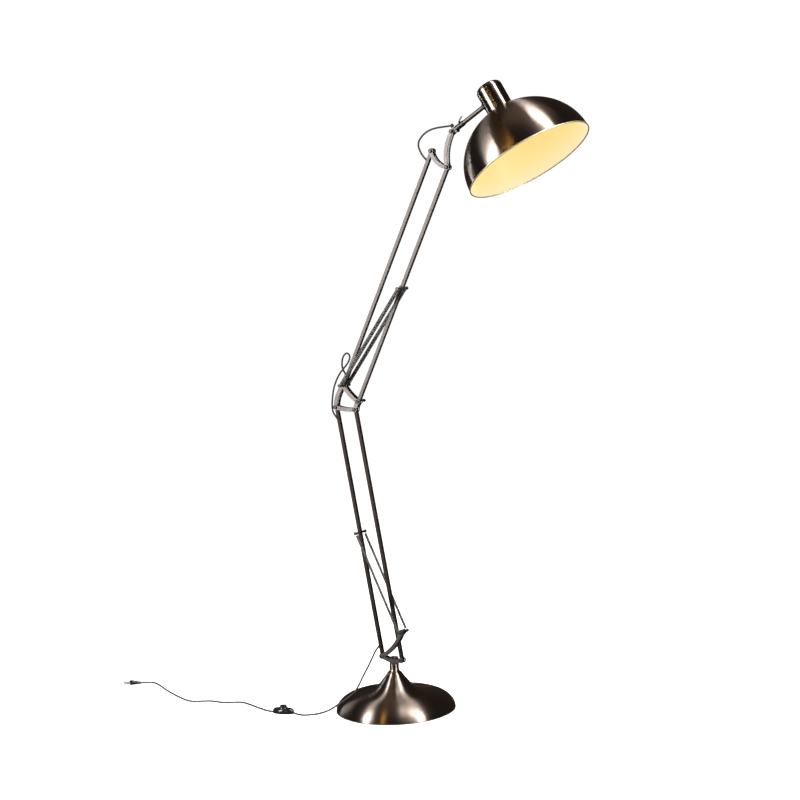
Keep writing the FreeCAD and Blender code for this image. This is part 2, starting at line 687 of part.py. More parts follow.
def shade_dome():
    """Spun dome with a rolled rim and a hole for the lamp holder."""
    dome = half_spheroid(0).cut(half_spheroid(SHADE_WALL))
    dome = dome.cut(rod(ORIGIN, Vector(0, 0, SHADE_HEIGHT + 1), SHADE_HOLE_RADIUS))
    bead_centre = Vector(0, 0, RIM_BEAD_RADIUS / 2)
    bead = Part.makeTorus(SHADE_RADIUS - SHADE_WALL / 2, RIM_BEAD_RADIUS, bead_centre, UP)
    return shade_placed(dome.fuse(bead).removeSplitter())


def lamp_cap():
    """Closed cup over the lamp holder, standing on the dome."""
    low = dome_height(CAP_RADIUS - CAP_WALL) + SEAT_CLEARANCE

    def cup(offset):
        r = CAP_RADIUS - offset
        top = CAP_TOP - offset
        round_radius = CAP_CORNER - offset
        middle = corner(r - round_radius, top - round_radius, round_radius)
        return turned((0, low), (r, low), (r, top - round_radius), middle + (r - round_radius, top), (0, top))

    shell = cup(0).cut(cup(CAP_WALL))
    wall_hole = rod(Vector(-CAP_RADIUS - 1, 0, ARM_ABOVE_RIM), Vector(0, 0, ARM_ABOVE_RIM), ARM_RADIUS + 0.1)
    return shade_placed(shell.cut(wall_hole))


def holder_plate():
    """Disc across the cap that the lamp holder hangs from, on a hollow nipple."""
    radius = CAP_RADIUS - CAP_WALL - 4 * SEAT_CLEARANCE
    low = HOLDER_TOP + 2 * SEAT_CLEARANCE
    disc = rod(Vector(0, 0, low), Vector(0, 0, low + HOLDER_PLATE_THICKNESS), radius)
    nipple = rod(Vector(0, 0, low), Vector(0, 0, low + NIPPLE_LENGTH), NIPPLE_RADIUS)
    bore = rod(Vector(0, 0, low), Vector(0, 0, low + NIPPLE_LENGTH), NIPPLE_BORE_RADIUS)
    return shade_placed(disc.fuse(nipple).cut(bore).removeSplitter())


def lamp_holder():
    """Screw lamp holder: a skirt through the shade's hole and a shoulder that rests on the dome."""
    seat = dome_height(SHADE_HOLE_RADIUS) + SEAT_CLEARANCE
    outer = turned((0, HOLDER_MOUTH), (HOLDER_SKIRT_RADIUS, HOLDER_MOUTH), (HOLDER_SKIRT_RADIUS, seat),
                   (HOLDER_SHOULDER_RADIUS, seat), (HOLDER_SHOULDER_RADIUS, seat + HOLDER_SHOULDER_HEIGHT),
                   (HOLDER_RADIUS, seat + 2 * HOLDER_SHOULDER_HEIGHT), (HOLDER_RADIUS, HOLDER_TOP - 4),
                   (HOLDER_RADIUS - 4, HOLDER_TOP), (0, HOLDER_TOP))
    depth = HOLDER_MOUTH + BULB_CAP_LENGTH + 6
    bore = rod(Vector(0, 0, HOLDER_MOUTH - 1), Vector(0, 0, depth), BULB_CAP_RADIUS + 0.6)
    return shade_placed(outer.cut(bore))


def shade_ring():
    """Threaded ring that clamps the shade against the holder's shoulder from inside."""
    high = dome_height(HOLDER_SHOULDER_RADIUS, SHADE_WALL) - 4 * SEAT_CLEARANCE
    low = Vector(0, 0, high - RING_HEIGHT)
    top = Vector(0, 0, high)
    ring = rod(low, top, HOLDER_SHOULDER_RADIUS)
    return shade_placed(ring.cut(rod(low, top, HOLDER_SKIRT_RADIUS + SEAT_CLEARANCE)))


def bulb_body(offset, neck_end):
    """The solid inside the bulb's glass, moved inwards by an offset."""
    r = BULB_RADIUS - offset
    low = BULB_CENTRE - r
    half = r * math.sqrt(0.5)
    neck = BULB_NECK_RADIUS - offset
    return turned((0, low), (half, BULB_CENTRE - half, r, BULB_CENTRE),
                  (r * 0.96, BULB_CENTRE + r * 0.29, r * 0.8, BULB_CENTRE + r * 0.62),
                  (neck, HOLDER_MOUTH - 4), (neck, neck_end), (0, neck_end))


def bulb_glass():
    """Hollow glass envelope, open at the neck."""
    shell = bulb_body(0, HOLDER_MOUTH - 0.4).cut(bulb_body(BULB_WALL, HOLDER_MOUTH - 0.4))
    return shade_placed(shell)


def bulb_cap():
    """Screw cap of the bulb inside the lamp holder."""
    low = HOLDER_MOUTH - 0.3
    return shade_placed(turned((0, low), (BULB_CAP_RADIUS, low), (BULB_CAP_RADIUS, low + BULB_CAP_LENGTH - 5),
                               (5, low + BULB_CAP_LENGTH), (0, low + BULB_CAP_LENGTH)))


# ---- cord, foot switch and plug ----


def cord_tube(name, points):
    """Straight runs joined by the largest tangent arcs that they allow, swept with a circle."""
    points = [Vector(*point) for point in points]
    edges = []
    radii = []
    here = points[0]
    for before, corner_point, after in zip(points, points[1:], points[2:]):
        way_in = corner_point - before
        way_out = after - corner_point
        half_turn = way_in.getAngle(way_out) / 2
        trim = 0.45 * min(way_in.Length, way_out.Length)
        radii.append(trim / math.tan(half_turn))
        start = corner_point - way_in.normalize() * trim
        end = corner_point + way_out.normalize() * trim
        inwards = (start + end) / 2 - corner_point
        nearest = radii[-1] / math.cos(half_turn) - radii[-1]
        middle = corner_point + inwards.normalize() * nearest
        edges.append(Part.LineSegment(here, start).toShape())
        edges.append(Part.Arc(start, middle, end).toShape())
        here = end
    edges.append(Part.LineSegment(here, points[-1]).toShape())
    path = Part.Wire(edges)
    section = Part.Wire([Part.makeCircle(CORD_RADIUS, points[0], points[1] - points[0])])
    tube = path.makePipeShell([section], True, False)
    share = tube.Volume / (math.pi * CORD_RADIUS ** 2 * path.Length)
    smallest = ", ".join(f"{radius:.0f}" for radius in radii)
    print(f"{name}: length {path.Length:.0f}, volume share {share:.4f}, bend radii {smallest}")
    return tube


def switch_placed(shape):
    """Moves a piece of the switch from its own frame, X along the cord, to where it lies."""
    shape.rotate(ORIGIN, UP, SWITCH_HEADING)
    shape.translate(Vector(SWITCH_CENTRE[0], SWITCH_CENTRE[1], 0))
    return shape


def oval(inset, low, high):
    """An upright block with the switch's oval plan, moved inwards by an inset."""
    ring = Part.Ellipse(ORIGIN, SWITCH_LENGTH / 2 - inset, SWITCH_WIDTH / 2 - inset).toShape()
    block = Part.Face(Part.Wire([ring])).extrude(UP * (high - low))
    block.translate(UP * low)
    return block


def rounded(shape, radius, height):
    """Fillets the edges of a shape that lie at one height."""
    edges = [edge for edge in shape.Edges if edge.BoundBox.ZLength < 1e-3]
    edges = [edge for edge in edges if abs(edge.BoundBox.ZMin - height) < 1e-3]
    return shape.makeFillet(radius, edges)


def switch_base():
    """The lower half of the foot switch's case."""
    return switch_placed(rounded(oval(0, 0, SWITCH_BASE_THICKNESS), SWITCH_BASE_THICKNESS * 0.6, 0))


def switch_cover():
    """The upper half of the case, with a round guide for the button."""
    low = SWITCH_BASE_THICKNESS
    top = SWITCH_HEIGHT
    outer = rounded(oval(0, low, top), SWITCH_ROUNDING, top)
    guide = Part.makeCone(BUTTON_GUIDE_RADIUS, BUTTON_RADIUS + 1.2, 5, Vector(0, 0, top - 2.4), UP)
    ceiling = top - SWITCH_WALL
    inner = rounded(oval(SWITCH_WALL, low, ceiling), SWITCH_ROUNDING - SWITCH_WALL, ceiling)
    cover = outer.fuse(guide).cut(inner)
    bore = rod(Vector(0, 0, low), Vector(0, 0, top + 10), BUTTON_RADIUS + BUTTON_CLEARANCE)
    return switch_placed(cover.cut(bore).removeSplitter())


def switch_button():
    """Round push button with a rounded top, above the contact block by its travel."""
    foot = SWITCH_BASE_THICKNESS + SWITCH_CONTACT_HEIGHT + BUTTON_TRAVEL + CLEAR_HOLE
    top = SWITCH_HEIGHT + BUTTON_RISE
    button = rounded(rod(Vector(0, 0, foot), Vector(0, 0, top), BUTTON_RADIUS), 1.8, top)
    return switch_placed(button)


def switch_contacts():
    """The switch's contact block, which fills the middle of its lower case."""
    low = SWITCH_BASE_THICKNESS
    block = Part.makeBox(2 * BUTTON_RADIUS, BUTTON_RADIUS, SWITCH_CONTACT_HEIGHT)
    block.translate(Vector(-BUTTON_RADIUS, -BUTTON_RADIUS / 2, low))
    return switch_placed(block)


def plug_placed(shape):
    """Moves a piece of the plug from its own frame, X away from the cord, to where it lies."""
    shape.rotate(ORIGIN, UP, PLUG_HEADING)
    shape.translate(Vector(*PLUG_ENTRY))
    return shape


def plug_section(along_x, width, thickness):
    """A wire with the plug's rounded section at a distance along it."""
    radius = thickness * 0.35
    low = Vector(along_x, -width / 2, -CORD_LEVEL)
    face = Part.makeBox(1, width, thickness, low)
    edges = [edge for edge in face.Edges if edge.BoundBox.XLength > 0.5]
    face = face.makeFillet(radius, edges)
    flat = [side for side in face.Faces if side.BoundBox.XLength < 1e-6]
    flat = [side for side in flat if abs(side.BoundBox.XMin - along_x) < 1e-6]
    return flat[0].OuterWire


def plug_body():
    """Moulded two-pin plug lying on its flat side, thin at the cord and wide at the pins."""
    sections = [
        plug_section(0, CORD_RADIUS * 3, CORD_LEVEL * 2.5),
        plug_section(PLUG_LENGTH * 0.4, PLUG_WIDTH * 0.72, PLUG_THICKNESS * 0.75),
        plug_section(PLUG_LENGTH * 0.8, PLUG_WIDTH, PLUG_THICKNESS),
        plug_section(PLUG_LENGTH, PLUG_WIDTH, PLUG_THICKNESS),
    ]
    return plug_placed(Part.makeLoft(sections, True, True))


def plug_pins():
    """Two round pins."""
    pins = []
    middle = PLUG_THICKNESS / 2 - CORD_LEVEL
    for side in (-1, 1):
        start = Vector(PLUG_LENGTH, side * PLUG_PIN_SPACING / 2, middle)
        end = Vector(PLUG_LENGTH + PLUG_PIN_LENGTH, side * PLUG_PIN_SPACING / 2, middle)
        pin = rod(start, end, PLUG_PIN_RADIUS)
        ends = [edge for edge in pin.Edges if edge.BoundBox.XLength < 1e-6]
        tip = [edge for edge in ends if edge.CenterOfMass.x > start.x + 1]
        pins.append(pin.makeFillet(PLUG_PIN_RADIUS * 0.45, tip))
    return plug_placed(group(pins))


# ---- cord routes: each starts and ends face to face with what it goes into ----

CORD_HEAD_UPPER = [
    (256.0, 0, 1579.3), (228.0, 1, 1578.5), (200.0, -1, 1576.5), (174.0, 0, 1569.0),
    (163.5, 0, 1560.0),
]
CORD_HEAD_LOWER = [
    (163.5, 0, 1560.0), (153.0, 0, 1551.0), (148.5, 0, 1535.5), (154.5, 0, 1519.5),
    (163.0, 0, 1505.5), (170.7, 0, 1498.3),
]
CORD_ELBOW_UPPER = [
    (-118.8, 0.5, 931.5), (-128.0, 2, 942.0), (-131.5, 4, 960.0), (-127.0, 5, 979.0),
    (-112.0, 3, 990.0), (-98.0, -1, 980.0), (-103.0, -5, 962.0), (-118.0, -8, 946.0),
    (-134.0, -9, 929.0), (-141.5, -9, 916.0),
]
CORD_ELBOW_LOWER = [
    (-141.5, -9, 916.0), (-149.0, -9, 903.0), (-156.0, -8, 883.0), (-162.0, -6, 860.0),
    (-165.5, -4, 838.0), (-163.5, -1.6, 820.0), (-155.5, -0.5, 811.5),
]
CORD_EXIT = [
    (-49.0, -1, 172.0), (-56.0, -5, 163.5), (-59.0, -16, 147.5), (-61.0, -26, 135.0),
]
CORD_DROP = [
    (-61.0, -26, 135.0), (-63.0, -36, 122.5), (-70.0, -51, 101.0), (-76.0, -65, 77.0),
    (-81.0, -79, 61.0), (-85.0, -91, 55.5),
]
CORD_FLOOR = [
    (-85.0, -91, 55.5), (-89.0, -103, 50.0), (-102.0, -117, 39.0), (-124.0, -120, 23.0),
    (-145.0, -117, 11.5), (-163.0, -124, 4.5), (-179.0, -142, 2.6), (-200.0, -159, 2.6),
    (-222.0, -158, 2.6), (-240.1, -150.0, 2.6),
]
CORD_TAIL = [
    (-302.0, -162.0, 2.6), (-321.0, -162.0, 2.6), (-346.0, -153.0, 2.6), (-377.0, -141.0, 2.6),
    (-414.0, -125.0, 2.6), (-447.0, -115.0, 2.6), (-468.0, -124.0, 2.6), (-488.0, -138.0, 2.6),
    (-514.0, -141.5, 2.6), (-541.0, -139.0, 2.6), (-564.0, -154.0, 2.6), (-590.0, -169.0, 2.6),
    (-627.0, -157.0, 2.6), (-668.0, -137.0, 2.6), (-715.0, -112.5, 2.6), (-762.0, -84.0, 2.6),
    (-806.0, -55.5, 2.6), (-840.0, -38.0, 2.6), (-862.0, -42.0, 2.6), (-876.0, -57.0, 2.6),
]

# ---- the parts ----

export("base_shell", base_shell())
export("base_plate", base_plate())
export("base_weight", base_weight())
export("base_pad", base_pad())
export("base_bolt", base_bolt())
export("stem_socket", stem_socket())
export("neck_bush", neck_bush())

export("swivel_stem", swivel_stem())
for side_name, side in (("near", -1), ("far", 1)):
    export(f"lower_plate_{side_name}", lower_plate(side))
    export(f"elbow_plate_{side_name}", elbow_plate(side))
    export(f"head_plate_{side_name}", head_plate(side))
export("lower_pivot_bolts", group(pivot_bolt(L1) + pivot_bolt(L2)))
export("lower_washers", washers([L1, L2]))
export("elbow_bolts", group(pivot_bolt(P1) + pivot_bolt(P2) + [winged_bolt(P4)]))
export("elbow_washers", washers([P1, P2, P3, P4]))
export("elbow_wing_nut", wing_nut(P4, WING_LEAN))
export("head_bolts", group(pivot_bolt(P5) + pivot_bolt(P6) + [winged_bolt(P7)]))
export("head_washers", washers([P5, P6, P7]))
export("head_wing_nut", wing_nut(P7, WING_LEAN))

RUNNING_BORE = BOLT_RADIUS + RUNNING_CLEARANCE
OPEN_BORE = BOLT_RADIUS + OPEN_PIVOT_CLEARANCE
lower_rear = rod_tube(LOWER_ROD_LENGTH, RUNNING_BORE, RUNNING_BORE, [LOWER_SPRING_PIN_AT],
                      [WIRE_HOLE_LOW, LOWER_ROD_LENGTH - WIRE_HOLE_HIGH])
lower_front = rod_tube(LOWER_ROD_LENGTH, RUNNING_BORE, OPEN_BORE)
upper_rear = rod_tube(UPPER_ROD_LENGTH, RUNNING_BORE, RUNNING_BORE, [],
                      [WIRE_HOLE_LOW, UPPER_ROD_LENGTH - WIRE_HOLE_HIGH])
upper_front = rod_tube(UPPER_ROD_LENGTH, RUNNING_BORE, OPEN_BORE, [UPPER_SPRING_PIN_AT])
export("lower_rear_rod", placed(lower_rear, L1, LOWER_LEAN))
export("lower_front_rod", placed(lower_front, L2, LOWER_LEAN))
export("upper_rear_rod", placed(upper_rear, P3, UPPER_LEAN))
export("upper_front_rod", placed(upper_front, P4, UPPER_LEAN))

export("spring_anchors", spring_anchors())
export("lower_spring_pin", spring_pin(LOWER_SPRING_PIN))
export("elbow_spring_pin", spring_pin(P3))
export("upper_spring_collar", upper_spring_collar())
lower_sides = (-OUTER_SPRING_Y, OUTER_SPRING_Y)
upper_sides = (-OUTER_SPRING_Y, -INNER_SPRING_Y, INNER_SPRING_Y, OUTER_SPRING_Y)
export("lower_springs", group([spring(SPRING_ANCHOR, LOWER_SPRING_PIN, y) for y in lower_sides]))
export("upper_springs", group([spring(P3, UPPER_SPRING_PIN, y) for y in upper_sides]))

export("head_sleeve", head_sleeve())
export("cord_grommet", cord_grommet())
export("arm_clamp_screw", arm_clamp_screw())
export("arm_tube", arm_tube())
export("arm_nuts", arm_nuts())
export("shade_dome", shade_dome())
export("lamp_cap", lamp_cap())
export("holder_plate", holder_plate())
export("lamp_holder", lamp_holder())
export("shade_ring", shade_ring())
export("bulb_glass", bulb_glass())
export("bulb_cap", bulb_cap())

export("lower_cord_reliefs", group([
    strain_relief(CORD_EXIT[0], Vector(*CORD_EXIT[0]) - Vector(*CORD_EXIT[1])),
    strain_relief(CORD_ELBOW_LOWER[-1], Vector(*CORD_ELBOW_LOWER[-1]) - Vector(*CORD_ELBOW_LOWER[-2])),
]))
export("upper_cord_reliefs", group([
    strain_relief(CORD_ELBOW_UPPER[0], Vector(*CORD_ELBOW_UPPER[0]) - Vector(*CORD_ELBOW_UPPER[1])),
    strain_relief(CORD_HEAD_LOWER[-1], Vector(*CORD_HEAD_LOWER[-1]) - Vector(*CORD_HEAD_LOWER[-2])),
]))
export("cord_head_upper", cord_tube("head, upper", CORD_HEAD_UPPER))
export("cord_head_lower", cord_tube("head, lower", CORD_HEAD_LOWER))
export("cord_elbow_upper", cord_tube("elbow, upper", CORD_ELBOW_UPPER))
export("cord_elbow_lower", cord_tube("elbow, lower", CORD_ELBOW_LOWER))
export("cord_exit", cord_tube("exit", CORD_EXIT))
export("cord_drop", cord_tube("drop", CORD_DROP))
export("cord_floor", cord_tube("floor", CORD_FLOOR))
export("cord_tail", cord_tube("tail", CORD_TAIL))
export("switch_base", switch_base())
export("switch_cover", switch_cover())
export("switch_button", switch_button())
export("switch_contacts", switch_contacts())
export("plug_body", plug_body())
export("plug_pins", plug_pins())
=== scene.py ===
"""Looks of the adjustable arm floor lamp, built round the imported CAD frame. Units are metres."""
import json
import math
import bmesh
import bpy
from mathutils import Matrix, Vector


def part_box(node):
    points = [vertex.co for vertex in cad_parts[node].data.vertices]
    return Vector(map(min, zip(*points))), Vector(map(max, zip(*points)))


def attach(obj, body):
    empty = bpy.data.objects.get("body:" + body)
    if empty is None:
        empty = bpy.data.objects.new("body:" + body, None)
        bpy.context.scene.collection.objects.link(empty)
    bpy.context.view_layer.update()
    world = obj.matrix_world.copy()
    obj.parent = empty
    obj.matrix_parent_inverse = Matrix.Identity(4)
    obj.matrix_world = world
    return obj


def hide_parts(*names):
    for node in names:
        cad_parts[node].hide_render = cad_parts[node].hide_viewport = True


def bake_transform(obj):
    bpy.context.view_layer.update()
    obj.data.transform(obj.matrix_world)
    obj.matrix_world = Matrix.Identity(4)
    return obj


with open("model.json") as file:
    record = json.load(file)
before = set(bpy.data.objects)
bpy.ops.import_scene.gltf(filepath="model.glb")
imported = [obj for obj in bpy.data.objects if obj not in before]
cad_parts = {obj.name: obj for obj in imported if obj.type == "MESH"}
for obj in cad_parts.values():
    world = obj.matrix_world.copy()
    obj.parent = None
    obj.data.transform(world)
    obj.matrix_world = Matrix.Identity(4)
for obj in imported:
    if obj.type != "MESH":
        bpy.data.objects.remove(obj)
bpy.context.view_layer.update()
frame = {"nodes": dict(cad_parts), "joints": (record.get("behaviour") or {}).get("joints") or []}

nodes = frame["nodes"]
joints = {joint["name"]: joint for joint in frame["joints"]}
MM = 0.001
ACROSS = Vector((0, 1, 0))


def pivot(name):
    """A joint's place at rest."""
    return Vector(joints[name]["pos_m"])


# ---- camera ----

CAMERA_AT = Vector((2.5610, -3.8825, 1.2428))
CAMERA_YAW = 32.82
CAMERA_PITCH = -4.74
CAMERA_ROLL = -2.51
CAMERA_LENS = 77.18


def make_camera():
    """Stands at the viewpoint, turned from +Y by its yaw, then tipped and rolled."""
    yaw, pitch, roll = (math.radians(a) for a in (CAMERA_YAW, CAMERA_PITCH, CAMERA_ROLL))
    forward = Vector((-math.sin(yaw) * math.cos(pitch), math.cos(yaw) * math.cos(pitch), math.sin(pitch)))
    level = Vector((math.cos(yaw), math.sin(yaw), 0))
    upright = level.cross(forward)
    right = level * math.cos(roll) + upright * math.sin(roll)
    top = upright * math.cos(roll) - level * math.sin(roll)
    data = bpy.data.cameras.new("camera")
    data.lens = CAMERA_LENS
    data.sensor_width = 36
    data.clip_end = 100
    camera = bpy.data.objects.new("camera", data)
    turned = Matrix((right, top, -forward)).transposed()
    camera.matrix_world = Matrix.Translation(CAMERA_AT) @ turned.to_4x4()
    bpy.context.scene.collection.objects.link(camera)
    bpy.context.scene.camera = camera


make_camera()

# ---- mesh helpers ----


def add_object(name, data):
    piece = bpy.data.objects.new(name, data)
    bpy.context.scene.collection.objects.link(piece)
    return piece


def mesh_object(name, points, faces, smooth=True):
    mesh = bpy.data.meshes.new(name)
    mesh.from_pydata([tuple(p) for p in points], [], faces)
    mesh.validate()
    if smooth:
        mesh.polygons.foreach_set("use_smooth", [True] * len(mesh.polygons))
    mesh.update()
    return add_object(name, mesh)


def sweep(path, radius, sides):
    """Points and faces of a round tube along a path, with closed ends."""
    points = []
    faces = []
    count = len(path)
    way = (path[1] - path[0]).normalized()
    side = way.orthogonal().normalized()
    for i, centre in enumerate(path):
        ahead = path[min(i + 1, count - 1)] - path[max(i - 1, 0)]
        turned = way.rotation_difference(ahead.normalized())
        side = (turned @ side).normalized()
        way = ahead.normalized()
        other = way.cross(side)
        for k in range(sides):
            turn = 2 * math.pi * k / sides
            points.append(centre + radius * (side * math.cos(turn) + other * math.sin(turn)))
    for i in range(count - 1):
        for k in range(sides):
            a = i * sides + k
            b = i * sides + (k + 1) % sides
            faces.append((a, b, b + sides, a + sides))
    faces.append(tuple(reversed(range(sides))))
    last = (count - 1) * sides
    faces.append(tuple(range(last, last + sides)))
    return points, faces


def merged(shapes):
    """Joins several (points, faces) into one."""
    points = []
    faces = []
    for some_points, some_faces in shapes:
        shift = len(points)
        points += some_points
        faces += [tuple(i + shift for i in face) for face in some_faces]
    return points, faces


# ---- cord: the same route as the CAD tubes ----

CORD_DIAMETER = 0.005
CORD_SIDES = 16
# control points in millimetres
CORD_ROUTES = {
    "head_upper": [
        (256.0, 0, 1579.3), (228.0, 1, 1578.5), (200.0, -1, 1576.5), (174.0, 0, 1569.0),
        (163.5, 0, 1560.0),
    ],
    "head_lower": [
        (163.5, 0, 1560.0), (153.0, 0, 1551.0), (148.5, 0, 1535.5), (154.5, 0, 1519.5),
        (163.0, 0, 1505.5), (170.7, 0, 1498.3),
    ],
    "elbow_upper": [
        (-118.8, 0.5, 931.5), (-128.0, 2, 942.0), (-131.5, 4, 960.0), (-127.0, 5, 979.0),
        (-112.0, 3, 990.0), (-98.0, -1, 980.0), (-103.0, -5, 962.0), (-118.0, -8, 946.0),
        (-134.0, -9, 929.0), (-141.5, -9, 916.0),
    ],
    "elbow_lower": [
        (-141.5, -9, 916.0), (-149.0, -9, 903.0), (-156.0, -8, 883.0), (-162.0, -6, 860.0),
        (-165.5, -4, 838.0), (-163.5, -1.6, 820.0), (-155.5, -0.5, 811.5),
    ],
    "exit": [
        (-49.0, -1, 172.0), (-56.0, -5, 163.5), (-59.0, -16, 147.5), (-61.0, -26, 135.0),
    ],
    "drop": [
        (-61.0, -26, 135.0), (-63.0, -36, 122.5), (-70.0, -51, 101.0), (-76.0, -65, 77.0),
        (-81.0, -79, 61.0), (-85.0, -91, 55.5),
    ],
    "floor": [
        (-85.0, -91, 55.5), (-89.0, -103, 50.0), (-102.0, -117, 39.0), (-124.0, -120, 23.0),
        (-145.0, -117, 11.5), (-163.0, -124, 4.5), (-179.0, -142, 2.6), (-200.0, -159, 2.6),
        (-222.0, -158, 2.6), (-240.1, -150.0, 2.6),
    ],
    "tail": [
        (-302.0, -162.0, 2.6), (-321.0, -162.0, 2.6), (-346.0, -153.0, 2.6), (-377.0, -141.0, 2.6),
        (-414.0, -125.0, 2.6), (-447.0, -115.0, 2.6), (-468.0, -124.0, 2.6), (-488.0, -138.0, 2.6),
        (-514.0, -141.5, 2.6), (-541.0, -139.0, 2.6), (-564.0, -154.0, 2.6), (-590.0, -169.0, 2.6),
        (-627.0, -157.0, 2.6), (-668.0, -137.0, 2.6), (-715.0, -112.5, 2.6), (-762.0, -84.0, 2.6),
        (-806.0, -55.5, 2.6), (-840.0, -38.0, 2.6), (-862.0, -42.0, 2.6), (-876.0, -57.0, 2.6),
    ],
}
# the bodies that each stretch hangs between; the ones left out lie still on the base or the floor
CORD_BODIES = {
    "head_upper": ("head_fork", "head_bracket"),
    "head_lower": ("head_bracket", "upper_rear_arm"),
    "elbow_upper": ("upper_rear_arm", "elbow"),
    "elbow_lower": ("elbow", "lower_rear_arm"),
    "exit": ("lower_rear_arm", "lower_bracket"),
    "drop": ("lower_bracket", "base"),
}


def centreline(route):
    """Points along one smooth line that has the route's points as its control points."""
    data = bpy.data.curves.new("guide", "CURVE")
    data.dimensions = "3D"
    data.resolution_u = 16
    spline = data.splines.new("NURBS")
    spline.points.add(len(route) - 1)
    for point, place in zip(spline.points, route):
        point.co = (*(value * MM for value in place), 1)
    spline.order_u = 3
    spline.use_endpoint_u = True
    guide = add_object("guide", data)
    bpy.context.view_layer.update()
    mesh = bpy.data.meshes.new_from_object(guide)
    line = [vertex.co.copy() for vertex in mesh.vertices]
    bpy.data.objects.remove(guide)
    bpy.data.meshes.remove(mesh)
    return line


def make_cords():
    """The hanging stretches keep their place at rest, and the others ride the base."""
    made = {}
    for name, route in CORD_ROUTES.items():
        line = centreline(route)
        points, faces = sweep(line, CORD_DIAMETER / 2, CORD_SIDES)
        piece = mesh_object(f"cord_{name}_flex", points, faces)
        if name in CORD_BODIES:
            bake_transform(piece)
        else:
            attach(piece, "base")
        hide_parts(f"cord_{name}")
        made[name] = piece
    return made


cords = make_cords()

# ---- materials ----


class Look:
    """A node material: a Principled shader with helpers for the nodes that feed it."""

    def __init__(self, name, color, metallic, roughness):
        self.material = bpy.data.materials.new(name)
        self.material.use_nodes = True
        self.tree = self.material.node_tree
        self.shader = self.tree.nodes["Principled BSDF"]
        self.set("Base Color", (*color, 1))
        self.set("Metallic", metallic)
        self.set("Roughness", roughness)
        self.coordinates = self.tree.nodes.new("ShaderNodeTexCoord").outputs["Object"]

    def set(self, socket, value):
        self.shader.inputs[socket].default_value = value

    def feed(self, socket, output):
        self.tree.links.new(output, self.shader.inputs[socket])

    def math(self, operation, *values):
        node = self.tree.nodes.new("ShaderNodeMath")
        node.operation = operation
        for entry, value in zip(node.inputs, values):
            if isinstance(value, (int, float)):
                entry.default_value = value
            else:
                self.tree.links.new(value, entry)
        return node.outputs[0]

    def mapped(self, scale, turn=(0, 0, 0)):
        """Object coordinates, turned and then stretched."""
        node = self.tree.nodes.new("ShaderNodeMapping")
        node.vector_type = "TEXTURE"
        node.inputs["Rotation"].default_value = turn
        self.tree.links.new(self.coordinates, node.inputs["Vector"])
        stretch = self.tree.nodes.new("ShaderNodeMapping")
        stretch.inputs["Scale"].default_value = scale
        self.tree.links.new(node.outputs[0], stretch.inputs["Vector"])
        return stretch.outputs[0]

    def ringed(self, round_scale):
        """Coordinates that change with distance from the axis and height, and hardly round the axis."""
        split = self.tree.nodes.new("ShaderNodeSeparateXYZ")
        self.tree.links.new(self.coordinates, split.inputs[0])
        x, y, z = split.outputs
        squares = self.math("ADD", self.math("MULTIPLY", x, x), self.math("MULTIPLY", y, y))
        turn = self.math("ARCTAN2", y, x)
        join = self.tree.nodes.new("ShaderNodeCombineXYZ")
        self.tree.links.new(self.math("SQRT", squares), join.inputs[0])
        self.tree.links.new(z, join.inputs[1])
        self.tree.links.new(self.math("MULTIPLY", turn, round_scale), join.inputs[2])
        return join.outputs[0]

    def noise(self, vector, scale, detail=2.0, roughness=0.5):
        node = self.tree.nodes.new("ShaderNodeTexNoise")
        node.inputs["Scale"].default_value = scale
        node.inputs["Detail"].default_value = detail
        node.inputs["Roughness"].default_value = roughness
        self.tree.links.new(vector, node.inputs["Vector"])
        return node.outputs["Fac"]

    def between(self, factor, low, high):
        """A number from low to high as the factor goes from 0.3 to 0.7, where noise mostly lies."""
        node = self.tree.nodes.new("ShaderNodeMapRange")
        node.inputs["From Min"].default_value = 0.3
        node.inputs["From Max"].default_value = 0.7
        node.inputs["To Min"].default_value = low
        node.inputs["To Max"].default_value = high
        self.tree.links.new(factor, node.inputs["Value"])
        return node.outputs[0]

    def colors(self, factor, *stops):
        """A colour along a ramp. Stops are (place, color)."""
        node = self.tree.nodes.new("ShaderNodeValToRGB")
        ramp = node.color_ramp
        while len(ramp.elements) < len(stops):
            ramp.elements.new(0.5)
        for element, (place, color) in zip(ramp.elements, stops):
            element.position = place
            element.color = (*color, 1)
        self.tree.links.new(factor, node.inputs[0])
        return node.outputs[0]

    def mixed(self, factor, a, b):
        """Colour a turning to colour b."""
        node = self.tree.nodes.new("ShaderNodeMix")
        node.data_type = "RGBA"
        for entry, value in ((node.inputs[0], factor), (node.inputs[6], a), (node.inputs[7], b)):
            if isinstance(value, tuple):
                entry.default_value = (*value, 1)
            else:
                self.tree.links.new(value, entry)
        return node.outputs[2]

    def bump(self, height, strength, distance):
        node = self.tree.nodes.new("ShaderNodeBump")
        node.inputs["Strength"].default_value = strength
        node.inputs["Distance"].default_value = distance
        self.tree.links.new(height, node.inputs["Height"])
        self.feed("Normal", node.outputs[0])

    def worn_edges(self, radius, gain):
        """1 on outside edges and 0 on flats, from how a rounded normal leans away from the true one."""
        bevel = self.tree.nodes.new("ShaderNodeBevel")
        bevel.inputs["Radius"].default_value = radius
        bevel.samples = 4
        geometry = self.tree.nodes.new("ShaderNodeNewGeometry")
        dot = self.tree.nodes.new("ShaderNodeVectorMath")
        dot.operation = "DOT_PRODUCT"
        self.tree.links.new(bevel.outputs[0], dot.inputs[0])
        self.tree.links.new(geometry.outputs["Normal"], dot.inputs[1])
        lean = self.math("SUBTRACT", 1, dot.outputs["Value"])
        worn = self.tree.nodes.new("ShaderNodeMath")
        worn.operation = "MULTIPLY"
        worn.use_clamp = True
        self.tree.links.new(lean, worn.inputs[0])
        worn.inputs[1].default_value = gain
        return worn.outputs[0]

